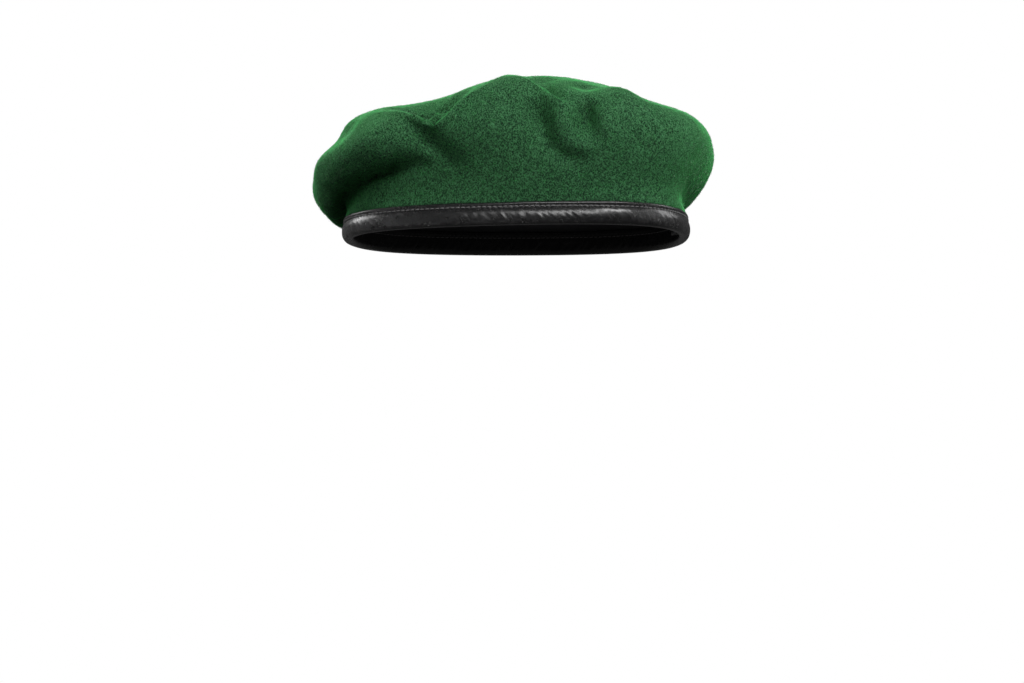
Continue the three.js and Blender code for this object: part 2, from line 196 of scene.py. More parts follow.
def b_spline(points, share):
    """A uniform cubic B-spline along the second last axis of points, at shares 0 to 1."""
    spans = points.shape[-2] - 3
    at = np.clip(share, 0, 1) * spans
    i = np.minimum(np.floor(at).astype(int), spans - 1)
    f = at - i
    weights = (
        (1 - f) ** 3 / 6,
        (3 * f**3 - 6 * f**2 + 4) / 6,
        (-3 * f**3 + 3 * f**2 + 3 * f + 1) / 6,
        f**3 / 6,
    )
    shape = i.shape + (points.shape[-1],)
    place = 0
    for k, weight in enumerate(weights):
        row = np.broadcast_to((i + k)[..., None], shape)[..., None, :]
        place = place + weight[..., None] * np.take_along_axis(points, row, -2)[..., 0, :]
    return place


def close_at_pole(rows, pole):
    near = pole + 0.45 * (rows[..., -1, :] - pole)
    near[..., 2] = pole[2]
    top = np.broadcast_to(pole, near.shape)
    return np.concatenate([rows, near[..., None, :], top[..., None, :], (2 * top - near)[..., None, :]], -2)


def pressed(points, folds):
    """Points moved by every fold, which fades away from its middle line."""
    moved = points.copy()
    for centre, along, radii, push in folds:
        away = points - np.array(centre, float)
        way = np.array(along, float) / np.linalg.norm(along)
        lengthwise = away @ way
        crosswise = np.linalg.norm(away - lengthwise[..., None] * way, axis=-1)
        depth = np.exp(-((lengthwise / radii[0]) ** 2) - (crosswise / radii[1]) ** 2)
        moved += depth[..., None] * np.array(push, float)
    return moved


def crown_middle(angle, share):
    """The middle of the felt: share 0 at its edge in the binding, 1 at the crown's pole."""
    rows = [beside_head(angle, 0.0 * angle, up) for up in BAND_ROWS_UP]
    for k in range(CROWN_SECTIONS.shape[1]):
        out, up = (around(CROWN_SECTIONS[:, k, j], angle) for j in (0, 1))
        rows.append(beside_head(angle, out, up))
    halfway = (head_line(angle) + CROWN_POLE[:2]) / 2
    rows.append(np.concatenate([halfway, around(CROWN_HALFWAY_UP, angle)[..., None]], -1))
    points = b_spline(close_at_pole(np.stack(rows, -2), CROWN_POLE), share)
    return pressed(points, CROWN_FOLDS)


def stepped(points):
    """The step in of the top behind the rim on the left."""
    along, up = np.array(RIM_ALONG, float), np.array(RIM_UP, float)
    fine = np.linspace(along[0], along[-1], 400)
    rim = np.interp(fine, along, up)
    kernel = np.exp(-(np.linspace(-2, 2, 13) ** 2))
    rim = np.convolve(np.pad(rim, 6, mode="edge"), kernel / kernel.sum(), "valid")
    slope = np.gradient(rim, fine)
    at = points[..., 1]
    above = (points[..., 2] - np.interp(at, fine, rim)) / np.sqrt(1 + np.interp(at, fine, slope) ** 2)
    rise = np.clip(above / RIM_SOFT, 0, 1)
    rise = rise * rise * (3 - 2 * rise)
    fade = np.exp(-((np.clip(above - RIM_SOFT, 0, None) / RIM_FADE) ** 2))
    near = np.clip((points[..., 0] - 40) / 20, 0, 1)
    step = np.interp(at, along, RIM_STEP)
    lip = 0.26 * step * np.exp(-((above / 2.5) ** 2))
    ditch = 0.45 * step * rise * np.exp(-(((above - RIM_SOFT) / 7) ** 2))
    moved = points.copy()
    moved[..., 0] += near * (lip - step * rise * fade)
    moved[..., 2] -= near * ditch
    return moved


def pocketed(points):
    """The felt pushed up and in along the pocket."""
    at = np.linspace(0, len(POCKET) - 1, 60)
    columns = [np.interp(at, np.arange(len(POCKET)), column) for column in POCKET.T]
    bearing, out, up, push_out, push_up = columns
    bearing = np.radians(bearing)
    line = beside_head(bearing, out, up)
    push = np.concatenate([head_normal(bearing) * push_out[:, None], push_up[:, None]], -1)
    moved = points.copy()
    for part in np.array_split(np.arange(len(points)), 20):
        gap = np.linalg.norm(points[part, None] - line, axis=-1)
        nearest = gap.argmin(-1)
        depth = np.exp(-((gap[np.arange(len(part)), nearest] / POCKET_RADIUS) ** 2))
        moved[part] += depth[:, None] * push[nearest]
    return moved


def felt_middle(angle, share):
    """The middle of the felt as it is worn, with its finer folds."""
    middle = crown_middle(angle, share)
    free = np.clip((share - 0.25) / 0.12, 0, 1)[..., None]  # nothing moves where the binding holds it
    soft = ripples(middle, 46, 11)[..., None]
    worn = stepped(pressed(pocketed(middle), WORN_FOLDS))
    out = unit(middle - (0, 0, 40))
    return middle + free * (worn - middle + 0.4 * soft * out)


def lining_middle(angle, share):
    """The middle of the lining: share 0 at the band, 1 at its pole."""
    rows = [beside_head(angle, out + 0.0 * angle, up) for out, up in LINING_ROWS]
    halfway = (head_line(angle) + LINING_POLE[:2]) / 2
    rows.append(np.concatenate([halfway, np.full(angle.shape + (1,), LINING_HALFWAY_UP)], -1))
    points = b_spline(close_at_pole(np.stack(rows, -2), LINING_POLE), share)
    hung = pressed(points + (0, 0, LINING_HANG), CROWN_FOLDS)
    return hung - (0, 0, LINING_HANG)


def facing(surface, angle, share):
    """The outward direction of a surface."""
    step = 1e-3
    low, high = np.clip(share - step, 0, 1), np.clip(share + step, 0, 1)
    round_it = surface(angle + step, share) - surface(angle - step, share)
    up = surface(angle, high) - surface(angle, low)
    out = np.cross(round_it, up)
    at_pole = share > 0.998
    out[at_pole] = (0, 0, 1)
    return unit(out)


def ripples(points, wavelength, seed, waves=14):
    """A soft random height at each point, about 1 in size, from a few plane waves of about one wavelength."""
    draw = np.random.default_rng(seed)
    ways = unit(draw.normal(size=(waves, 3)))
    speeds = TURN / wavelength * draw.uniform(0.7, 1.4, waves)
    starts = draw.uniform(0, TURN, waves)
    return np.cos(points @ (ways * speeds[:, None]).T + starts).sum(-1) * math.sqrt(2 / waves)


# --- Making meshes ---

def piece_from(name, points, faces, material, slot=None, uvs=None, smooth=True):
    """A mesh object from points in millimetres. Its faces may be triangles or quads."""
    mesh = bpy.data.meshes.new(name)
    mesh.from_pydata((np.asarray(points) * MM).tolist(), [], [tuple(f) for f in faces])
    if uvs is not None:
        layer = mesh.uv_layers.new(name="UVMap")
        layer.data.foreach_set("uv", np.asarray(uvs, np.float32).ravel())
    mesh.shade_smooth() if smooth else mesh.shade_flat()
    piece = bpy.data.objects.new(name, mesh)
    bpy.context.scene.collection.objects.link(piece)
    piece.data.materials.append(material)
    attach(piece, "root")
    return piece


def ring_faces(columns, rows, closed_round=True, closed_across=False):
    """Quads of a grid of columns going round and rows along a profile; a vertex is column * rows + row."""
    i = np.arange(columns if closed_round else columns - 1)
    k = np.arange(rows if closed_across else rows - 1)
    i, k = grid_of(i, k)
    j, above = (i + 1) % columns, (k + 1) % rows
    return np.stack([i * rows + k, j * rows + k, j * rows + above, i * rows + above], -1)


def even_shares(surface, angle, spacing, low=0.0, high=1.0):
    """Shares from low to high that lie about evenly along a surface's profile at one bearing."""
    fine = np.linspace(low, high, 600)
    length = lengths(surface(np.full(len(fine), angle), fine))
    count = max(4, round(length[-1] / spacing))
    return np.interp(np.linspace(0, length[-1], count), length, fine)


def disc_grid(side):
    """A square of quads laid on the unit disc: the radius and bearing of each vertex, and the quads."""
    line = np.linspace(-1, 1, side + 1)
    a, b = grid_of(line, line)
    wide = np.abs(a) >= np.abs(b)
    radius = np.where(wide, np.abs(a), np.abs(b))
    safe_a, safe_b = np.where(a == 0, 1, a), np.where(b == 0, 1, b)
    side_on = TURN / 8 * b / safe_a + (a < 0) * math.pi
    end_on = BACK - TURN / 8 * a / safe_b + (b < 0) * math.pi
    bearing = np.where(wide, side_on, end_on)
    n = side + 1
    i, k = grid_of(np.arange(side), np.arange(side))
    quads = np.stack([i * n + k, (i + 1) * n + k, (i + 1) * n + k + 1, i * n + k + 1], -1)
    return radius, bearing % TURN, quads


def dome(surface, columns, spacing, first, turn_at, side):
    """One side of a dome: rings from share first to turn_at, then a disc of even quads to its pole.

    side(angle, share) gives its points. Returns points, faces and the number of rows.
    """
    shares = even_shares(surface, 0.0, spacing, first, turn_at)
    angles = np.arange(columns) / columns * TURN
    angle, share = grid_of(angles, shares[:-1])
    radius, bearing, quads = disc_grid(columns // 4)
    angle = np.concatenate([angle, bearing])
    share = np.concatenate([share, 1 - (1 - turn_at) * radius])
    points = side(angle, share)
    rows = len(shares) - 1
    rings = ring_faces(columns, rows)
    start = columns * rows
    rim = np.flatnonzero(radius > 1 - 1e-9)
    column_of = np.round(bearing[rim] / TURN * columns).astype(int) % columns
    disc_vertex = np.empty(columns, int)
    disc_vertex[column_of] = rim + start
    i = np.arange(columns)
    j = (i + 1) % columns
    last = rows - 1
    join = np.stack([i * rows + last, j * rows + last, disc_vertex[j], disc_vertex[i]], -1)
    return points, np.concatenate([rings, join, quads + start]), rows


def shell(outer_dome, inner_dome, columns):
    """Points and faces of two domes, joined along their lower edges into a closed skin."""
    outer, outer_faces, rows = outer_dome
    inner, inner_faces, inner_rows = inner_dome
    start = len(outer)
    i = np.arange(columns)
    j = (i + 1) % columns
    edge = np.stack([j * rows, i * rows, i * inner_rows + start, j * inner_rows + start], -1)
    faces = np.concatenate([outer_faces, inner_faces[:, ::-1] + start, edge])
    return np.concatenate([outer, inner]), faces


# --- Material helpers ---

# The reach of the painted shade in hollows.
HOLLOW_REACH = 0.03  # metres, how far a hollow looks for what shades it


def grey(level):
    return (level, level, level)


class Shader:
    """A new node material with short ways to add nodes."""

    def __init__(self, name):
        self.material = bpy.data.materials.new(name)
        self.material.use_nodes = True
        self.tree = self.material.node_tree
        self.tree.nodes.clear()
        self.surface = self.tree.nodes.new("ShaderNodeBsdfPrincipled")
        output = self.tree.nodes.new("ShaderNodeOutputMaterial")
        self.tree.links.new(self.surface.outputs[0], output.inputs["Surface"])
        self.place = self.tree.nodes.new("ShaderNodeTexCoord")

    def set(self, **values):
        for socket, value in values.items():
            self.surface.inputs[socket.replace("_", " ")].default_value = value

    def link(self, source, socket):
        self.tree.links.new(source, self.surface.inputs[socket])

    def node(self, kind, inputs=None, **settings):
        made = self.tree.nodes.new("ShaderNode" + kind)
        for key, value in settings.items():
            setattr(made, key, value)
        for key, value in (inputs or {}).items():
            if isinstance(value, bpy.types.NodeSocket):
                self.tree.links.new(value, made.inputs[key])
            else:
                made.inputs[key].default_value = value
        return made

    def mapped(self, scale=(1, 1, 1), turn=(0, 0, 0), uv=False):
        """A coordinate that is turned first and then stretched, with scale cells a metre along each axis."""
        source = self.place.outputs["UV" if uv else "Object"]
        cell = [1 / k for k in scale]
        inputs = {"Vector": source, "Scale": cell, "Rotation": turn}
        return self.node("Mapping", inputs, vector_type="TEXTURE").outputs[0]

    def noise(self, vector, scale, detail=2.0, roughness=0.5, distortion=0.0):
        inputs = {"Vector": vector, "Scale": scale, "Detail": detail}
        return self.node("TexNoise", {**inputs, "Roughness": roughness, "Distortion": distortion}).outputs[0]

    def wave(self, scale, turn=0.0, direction="X", **inputs):
        """Soft bands over the UVs, scale to the metre."""
        vector = self.mapped(turn=(0, 0, turn), uv=True)
        made = self.node("TexWave", {"Vector": vector, "Scale": scale, **inputs}, bands_direction=direction)
        return made.outputs["Fac"]

    def painted_hollow_shade(self, color, samples, stops):
        """A colour with painted shade: darker in hollows by an occlusion lookup, by stops of (openness,
        shade).
        """
        inputs = {"Distance": HOLLOW_REACH}
        openness = self.node("AmbientOcclusion", inputs, samples=samples).outputs["AO"]
        return self.mix(1.0, color, self.ramp(openness, stops), "MULTIPLY")

    def ramp(self, value, stops):
        """Maps a value through colour stops, (position, colour)."""
        made = self.node("ValToRGB", {"Fac": value})
        bar = made.color_ramp
        while len(bar.elements) < len(stops):
            bar.elements.new(0.5)
        for element, (position, color) in zip(bar.elements, stops):
            element.position = position
            element.color = color if len(color) == 4 else (*color, 1)
        return made.outputs[0]

    def math(self, operation, a, b):
        return self.node("Math", {0: a, 1: b}, operation=operation).outputs[0]

    def mix(self, factor, a, b, blend="MIX"):
        made = self.node("Mix", data_type="RGBA", blend_type=blend)
        for key, value in ((0, factor), (6, a), (7, b)):
            if isinstance(value, bpy.types.NodeSocket):
                self.tree.links.new(value, made.inputs[key])
            else:
                made.inputs[key].default_value = (*value, 1) if key and len(value) == 3 else value
        return made.outputs[2]

    def bump(self, height, distance, strength=1.0, normal=None):
        inputs = {"Height": height, "Distance": distance, "Strength": strength}
        if normal is not None:
            inputs["Normal"] = normal
        return self.node("Bump", inputs).outputs[0]


DARK_WOOL, WOOL = (0.013, 0.038, 0.021), (0.023, 0.070, 0.034)
PALE_WOOL, HAIR_WOOL = (0.095, 0.34, 0.13), (0.19, 0.62, 0.25)
# Painted sheen: a brighter green mixed into the felt's colour where it is seen at grazing angles.
PAINTED_SHEEN_GREEN = (0.11, 0.7, 0.19)  # the felt at grazing angles


def felt_material():
    """Brushed wool felt: fine speckle, short hairs lying every way, a painted sheen that makes its colour
    brighter at grazing angles, and painted shade in its hollows.
    """
    s = Shader("felt")
    s.set(Roughness=1.0, Specular_IOR_Level=0.02)
    s.set(Sheen_Weight=0.55, Sheen_Roughness=0.25, Sheen_Tint=(0.14, 0.8, 0.2, 1))
    place = s.mapped()
    speckle = s.noise(place, 1200, 3.0, 0.8)
    warp = s.noise(place, 150, 2.0)
    hairs = None
    for turn in ((0.3, 0.2, 0.1), (1.2, 0.5, 2.1), (2.3, 1.4, 0.7), (0.9, 2.2, 1.5)):
        way = s.mapped((380, 1900, 1900), turn)
        bent = s.node("VectorMath", {0: way, 1: warp}, operation="ADD").outputs[0]
        layer = s.ramp(s.noise(bent, 1.0, 1.0, 0.5), [(0.59, grey(0)), (0.67, grey(1))])
        hairs = layer if hairs is None else s.math("MAXIMUM", hairs, layer)
    cloud = s.noise(place, 60, 4.0, 0.65)
    base = s.ramp(speckle, [(0.4, DARK_WOOL), (0.55, WOOL), (0.7, PALE_WOOL)])
    thin = s.ramp(cloud, [(0.38, grey(0.8)), (0.62, grey(1))])
    mottled = s.mix(1.0, base, thin, "MULTIPLY")
    lit = s.mix(s.math("MULTIPLY", hairs, 0.44), mottled, HAIR_WOOL)
    # Painted sheen: the colour turns brighter green where the felt is seen at grazing angles.
    grazing = s.node("LayerWeight", {"Blend": 0.5}).outputs["Facing"]
    edge = s.ramp(grazing, [(0.76, grey(0)), (0.98, grey(0.9))])
    lit = s.mix(edge, lit, PAINTED_SHEEN_GREEN)
    # Painted shade: the felt's colour is darkened in its hollows.
    s.link(s.painted_hollow_shade(lit, 6, [(0.3, (0.24, 0.22, 0.24)), (0.9, grey(1))]), "Base Color")
    fine = s.bump(speckle, 0.0009, 0.7)
    s.link(s.bump(hairs, 0.0005, 0.6, fine), "Normal")
    return s.material


def nap_material():
    """The loose wool hairs, from mid green to pale, with painted shade in hollows."""
    s = Shader("nap")
    s.set(Roughness=0.9, Specular_IOR_Level=0.05, Sheen_Weight=0.3, Sheen_Tint=(0.15, 0.9, 0.2, 1))
    s.set(Subsurface_Weight=1.0, Subsurface_Radius=(1.0, 1.0, 1.0), Subsurface_Scale=0.0003)
    tone = s.noise(s.mapped(), 700, 2.0)
    base = s.ramp(tone, [(0.4, (0.03, 0.15, 0.05)), (0.6, (0.14, 0.72, 0.2))])
    # Painted shade: the hairs' colour is darkened where they sit in hollows.
    s.link(s.painted_hollow_shade(base, 4, [(0.3, grey(0.2)), (0.8, grey(1))]), "Base Color")
    return s.material


def leather_material():
    """Black binding leather: pebbled grain, stretch creases across it, and a soft polish."""
    s = Shader("leather")
    s.set(Specular_IOR_Level=0.3)
    s.set(Coat_Weight=0.7, Coat_Roughness=0.27)
    cells = {"Vector": s.mapped(), "Scale": 1500.0}
    grain = s.node("TexVoronoi", cells, feature="DISTANCE_TO_EDGE").outputs[0]
    grain = s.ramp(grain, [(0.0, grey(0)), (0.16, grey(1))])
    creases = s.noise(s.mapped((900, 260, 1), (0, 0, -0.5), uv=True), 1.0, 3.0, 0.65, 0.8)
    creases = s.ramp(creases, [(0.4, grey(1)), (0.5, grey(0)), (0.6, grey(1))])
    wear = s.noise(s.mapped(), 160, 4.0, 0.65)
    tone = s.ramp(wear, [(0.3, (0.005, 0.005, 0.006)), (0.7, (0.013, 0.0128, 0.013))])
    s.link(tone, "Base Color")
    s.link(s.ramp(wear, [(0.3, grey(0.36)), (0.7, grey(0.24))]), "Roughness")
    first = s.bump(grain, 0.00012, 0.35)
    s.link(s.bump(creases, 0.0007, 0.8, first), "Normal")
    return s.material


def satin_material():
    """Black lining satin: a fine twill with long floats."""
    s = Shader("satin")
    s.set(Roughness=0.42, Specular_IOR_Level=0.5, Anisotropic=0.45)
    s.set(Sheen_Weight=0.25, Sheen_Roughness=0.35, Sheen_Tint=(0.5, 0.52, 0.6, 1))
    twill = s.wave(620.0, 0.6, Distortion=0.6, Detail=1.0)
    slub = s.noise(s.mapped((90, 2400, 1), uv=True), 1.0, 2.0)
    tone = s.ramp(slub, [(0.3, (0.006, 0.006, 0.007)), (0.7, (0.02, 0.02, 0.023))])
    s.link(tone, "Base Color")
    first = s.bump(twill, 0.00008, 0.5)
    s.link(s.bump(slub, 0.0001, 0.4, first), "Normal")
    return s.material


def tape_material():
    """Woven black tape."""
    s = Shader("tape")
    s.set(Roughness=0.85, Sheen_Weight=0.3, Sheen_Roughness=0.4, Sheen_Tint=(0.4, 0.4, 0.42, 1))
    weave = s.math("MULTIPLY", s.wave(520.0, direction="Y"), s.wave(640.0))
    s.link(s.ramp(weave, [(0.0, grey(0.004)), (1.0, (0.03, 0.03, 0.032))]), "Base Color")
    s.link(s.bump(weave, 0.0003, 0.7), "Normal")
    return s.material


def thread_material():
    """Waxed grey sewing thread, with its twist."""
    s = Shader("thread")
    s.set(Roughness=0.5, Specular_IOR_Level=0.5)
    twist = s.wave(900.0, 0.7)
    s.link(s.ramp(twist, [(0.0, grey(0.16)), (1.0, (0.42, 0.415, 0.41))]), "Base Color")
    s.link(s.bump(twist, 0.0001, 0.6), "Normal")
    return s.material


def vinyl_material():
    """Dark glossy vinyl with an embossed pin grain."""
    s = Shader("vinyl")
    s.set(Roughness=0.3, Coat_Weight=0.5, Coat_Roughness=0.12)
    pins = s.node("TexVoronoi", {"Vector": s.mapped(), "Scale": 900.0}).outputs["Distance"]
    scuff = s.noise(s.mapped(), 300, 4.0, 0.7)
    s.link(s.ramp(scuff, [(0.35, (0.018, 0.018, 0.02)), (0.7, (0.035, 0.035, 0.038))]), "Base Color")
    s.link(s.bump(pins, 0.0001, 0.4), "Normal")
    return s.material


def label_material():
    """A woven label: cream satin ribbon with fine ribs, and nothing written on it."""
    s = Shader("label")
    s.set(Roughness=0.7, Sheen_Weight=0.2, Sheen_Tint=(1, 0.98, 0.94, 1))
    ribs = s.wave(900.0, direction="Y")
    fleck = s.noise(s.mapped(), 1400, 2.0)
    s.link(s.ramp(fleck, [(0.3, (0.5, 0.485, 0.44)), (0.7, (0.74, 0.72, 0.66))]), "Base Color")
    s.link(s.bump(ribs, 0.0001, 0.5), "Normal")
    return s.material


def metal_material():
    """Blackened brass, rubbed through in patches."""
    s = Shader("blackened_metal")
    s.set(Metallic=0.85)
    rub = s.noise(s.mapped(), 700, 4.0, 0.7)
    s.link(s.ramp(rub, [(0.45, (0.02, 0.02, 0.022)), (0.75, (0.07, 0.06, 0.045))]), "Base Color")
    s.link(s.ramp(rub, [(0.3, grey(0.38)), (0.7, grey(0.24))]), "Roughness")
    s.link(s.bump(rub, 0.0001, 0.2), "Normal")
    return s.material


def floor_material():
    s = Shader("floor")
    s.set(Roughness=0.9, Specular_IOR_Level=0.1)
    grain = s.noise(s.mapped(), 3, 2.0)
    s.link(s.ramp(grain, [(0.3, grey(0.83)), (0.7, grey(0.86))]), "Base Color")
    return s.material


FELT, LEATHER, SATIN, TAPE = felt_material(), leather_material(), satin_material(), tape_material()
NAP = nap_material()
THREAD, VINYL, LABEL, METAL = thread_material(), vinyl_material(), label_material(), metal_material()


# --- The felt crown ---

FELT_COLUMNS = 440
FELT_SPACING = 1.2
FELT_INNER_SPACING = 4
FELT_TURN_SHARE = 0.8  # where the rings end and the even disc begins


def felt_side(offset, rough):
    """The felt's outer (offset above 0) or inner side, with a felted surface."""

    def place(angle, share):
        middle = felt_middle(angle, share)
        out = facing(felt_middle, angle, share)
        felted = 0.05 * ripples(middle, 5, 13, 40) + 0.05 * ripples(middle, 3, 14, 40)
        return middle + out * (offset + rough * felted)[..., None]

    return place


def make_felt():
    outside, inside = felt_side(FELT_THICK / 2, 1.0), felt_side(-FELT_THICK / 2, 0.3)
    domes = [
        dome(felt_middle, FELT_COLUMNS, spacing, 0.0, FELT_TURN_SHARE, side)
        for spacing, side in ((FELT_SPACING, outside), (FELT_INNER_SPACING, inside))
    ]
    felt = piece_from("felt_crown_shell", *shell(*domes, FELT_COLUMNS), FELT, "felt")
    cut_eyelet_holes(felt)
    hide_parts("felt_crown")


NAP_TRIES = 110000
NAP_FROM_SHARE = 0.262
NAP_LENGTH = (1.4, 3.4)
NAP_RADIUS = 0.1
NAP_RISE = (0.04, 0.28)  # radians off the surface


def make_nap():
    """The wool hairs that stand off the felt: closed three-sided spikes, spread evenly over it by a draw."""
    draw = np.random.default_rng(41)
    angle, share = draw.uniform(0, TURN, NAP_TRIES), draw.uniform(NAP_FROM_SHARE, 0.995, NAP_TRIES)
    step = 1e-3
    round_it = felt_middle(angle + step, share) - felt_middle(angle - step, share)
    up = felt_middle(angle, share + step) - felt_middle(angle, share - step)
    out = np.cross(round_it, up)
    patch = np.linalg.norm(out, axis=-1)
    kept = draw.uniform(0, np.quantile(patch, 0.99), NAP_TRIES) < patch
    angle, share, out = angle[kept], share[kept], out[kept] / patch[kept, None]
    count = len(angle)
    side = unit(np.cross(out, draw.normal(size=(count, 3))))
    rise = draw.uniform(*NAP_RISE, count)[:, None]
    way = np.cos(rise) * side + np.sin(rise) * out
    across = unit(np.cross(way, out))
    third = np.cross(way, across)
    foot = felt_middle(angle, share) + out * (FELT_THICK / 2 - 0.1)
    thirds = np.arange(3) / 3 * TURN
    corners = [foot + NAP_RADIUS * (math.cos(a) * across + math.sin(a) * third) for a in thirds]
    tip = foot + way * draw.uniform(*NAP_LENGTH, count)[:, None]
    points = np.stack([*corners, tip], 1).reshape(-1, 3)
    spike = np.array([(0, 1, 2), (1, 0, 3), (2, 1, 3), (0, 2, 3)])
    faces = (spike + 4 * np.arange(count)[:, None, None]).reshape(-1, 3)
    outwards(piece_from("felt_crown_nap", points, faces, NAP, "felt", smooth=False))


def eyelet_frame(degrees):
    """The matrix, in metres, that stands a Z-axis piece on the felt's middle at an eyelet."""
    angle, share = np.array([math.radians(degrees)]), np.array([EYELET_SHARE])
    place = Vector(felt_middle(angle, share)[0] * MM)
    way = Vector(facing(felt_middle, angle, share)[0])
    return Matrix.Translation(place) @ way.to_track_quat("Z", "Y").to_matrix().to_4x4()


def bmesh_object(name, fill, matrix):
    """An object whose mesh the function fill makes."""
    mesh = bpy.data.meshes.new(name)
    bm = bmesh.new()
    fill(bm)
    bm.to_mesh(mesh)
    bm.free()
    made = bpy.data.objects.new(name, mesh)
    made.matrix_world = matrix
    bpy.context.scene.collection.objects.link(made)
    return made


def carve(piece, tools):
    """Cuts the tools out of a piece, and removes them."""
    bpy.context.view_layer.update()
    for tool in tools:
        cut = piece.modifiers.new("cut", "BOOLEAN")
        cut.object = tool
        cut.operation = "DIFFERENCE"
        cut.solver = "MANIFOLD"
    graph = bpy.context.evaluated_depsgraph_get()
    mesh = bpy.data.meshes.new_from_object(piece.evaluated_get(graph))
    piece.modifiers.clear()
    piece.data = mesh
    for tool in tools:
        bpy.data.objects.remove(tool)
    mesh.shade_smooth()


def cut_eyelet_holes(felt):
    def drill(bm):
        radius = EYELET_HOLE_RADIUS * MM
        ends = {"radius1": radius, "radius2": radius}
        bmesh.ops.create_cone(bm, cap_ends=True, segments=32, depth=12 * MM, **ends)

    carve(felt, [bmesh_object("cutter", drill, eyelet_frame(d)) for d in EYELET_BEARINGS.values()])


# --- The leather binding ---

# Section of the binding, out from the head line and up: down the outer leg, under the foot, up the inner leg
# and back.
BINDING_SECTION = [
    (1.5, 13.1), (1.7, 13.5), (2.15, 13.5), (2.5, 13.15), (2.6, 12.4), (2.45, 11.6), (2.0, 10.95),
    (2.1, 10.4), (2.6, 9.6), (3.1, 8.4), (3.42, 6.9), (3.5, 5.2), (3.35, 3.4), (2.9, 1.8), (2.1, 0.65),
    (1.1, 0.12), (0, 0.02), (-1.2, 0.05), (-2.2, 0.35), (-3.0, 1.1), (-3.42, 2.3), (-3.5, 4.0),
    (-3.5, 7.0), (-3.46, 9.6), (-3.3, 10.8), (-3.46, 12.0), (-3.5, 13.6), (-3.35, 14.5), (-2.95, 14.8),
    (-2.55, 14.6), (-2.42, 13.6), (-2.4, 10.0), (-2.4, 4.2), (-2.1, 2.6), (-1.2, 1.4), (0, 1.15),
    (1.0, 1.3), (1.8, 2.3), (2.1, 4.4), (1.95, 6.8), (1.6, 9.4), (1.5, 11.0),
]
BINDING_POINTS = 66
STITCH_COUNT = 194
COLUMNS_PER_STITCH = 7
SEAM_HALF_GAP = 0.06
TAPE_SLOT = (-4, 96.8, 2.4), (4, 101.6, 6.2)  # opposite corners of the slot that the tape comes in through
STITCH_HALF_SHARE = 0.36  # half a stitch's length, as a share of the pitch


def closed_spline(points, count):
    """A smooth closed curve through points, at count places spread evenly along it."""
    points = np.array(points, float)
    u = np.linspace(0, len(points), 2000, endpoint=False)
    line = around_points(points, u)
    length = lengths(closed(line))
    even = np.linspace(0, length[-1], count, endpoint=False)
    return around_points(points, np.interp(even, length, np.append(u, len(points))))


def around_points(points, u):
    i = np.floor(u).astype(int)
    return through([points[(i + k) % len(points)] for k in (-1, 0, 1, 2)], (u - i)[:, None])


def bearings_by_length(count, out=2.5, gap=0.0):
    """Bearings from the back seam right round to it again, evenly along a line beside the head line.

    Also gives that line's length.
    """
    fine = np.linspace(BACK, BACK + TURN, 8001)
    line = beside_head(fine, 0 * fine + out, 0)
    length = lengths(line)
    return np.interp(np.linspace(gap, length[-1] - gap, count), length, fine), length[-1]


def make_binding():
    columns = STITCH_COUNT * COLUMNS_PER_STITCH + 1
    bearings, around_mm = bearings_by_length(columns, gap=SEAM_HALF_GAP)
    section = closed_spline(BINDING_SECTION, BINDING_POINTS)
    angle = np.repeat(bearings, BINDING_POINTS)
    out, up = (np.tile(section[:, k], columns) for k in (0, 1))
    base = beside_head(angle, out, up)
    along = np.linspace(0, around_mm, columns).repeat(BINDING_POINTS)
    outside = np.clip((out - 0.5) / 1.5, 0, 1) - np.clip((-out - 1.5) / 1.5, 0, 1)
    stitch = np.cos(along / around_mm * STITCH_COUNT * TURN)
    pull = np.exp(-(((up - STITCH_UP) / 0.7) ** 2)) * (0.5 + 0.5 * stitch)
    roll = np.exp(-(((up - 5) / 4) ** 2))
    slant = along + 0.8 * up
    fold_lines = np.stack([slant, 0.25 * up, 0 * up], -1)
    folds = ripples(fold_lines, 7, 21, 24) + 0.8 * ripples(fold_lines, 3.2, 22, 24)
    drift = ripples(np.stack([along, 0 * up, 0 * up], -1), 60, 23)
    out = out - outside * (0.25 * pull - roll * (0.06 * folds + 0.12 * drift))
    free = np.clip(up / 1.5, 0, 1)
    up = up + free * (0.1 * drift + 0.05 * ripples(base, 14, 24))
    points = beside_head(angle, out, up)
    faces = ring_faces(columns, BINDING_POINTS, closed_round=False, closed_across=True)
    uvs = binding_uvs(faces, along, section)
    first = np.arange(BINDING_POINTS)
    last = first + (columns - 1) * BINDING_POINTS
    faces = [tuple(f) for f in faces] + [tuple(first[::-1]), tuple(last)]
    uvs = np.concatenate([uvs, np.zeros((2 * BINDING_POINTS, 2))])
    binding = piece_from("leather_binding_strip", points, faces, LEATHER, "leather", uvs)
    outwards(binding)
    carve(binding, [box_cutter(*TAPE_SLOT)])
    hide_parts("leather_binding")
    return binding


def binding_uvs(faces, along, section):
    """Metres along the strip, and metres round its section."""
    across = lengths(closed(section))
    row = faces % BINDING_POINTS
    v = across[row]
    v[:, 2:][row[:, 2:] == 0] = across[-1]
    return np.stack([along[faces], v], -1).reshape(-1, 2) * MM


def outwards(piece):
    """Turns a closed mesh's faces outwards."""
    bm = bmesh.new()
    bm.from_mesh(piece.data)
    bmesh.ops.recalc_face_normals(bm, faces=bm.faces)
    bm.to_mesh(piece.data)
    bm.free()


def box_cutter(low, high):
    size = Vector(high) - Vector(low)
    middle = (Vector(high) + Vector(low)) / 2 * MM
    matrix = Matrix.Translation(middle) @ Matrix.Diagonal((*(size * MM), 1))
    return bmesh_object("cutter", lambda bm: bmesh.ops.create_cube(bm, size=1), matrix)


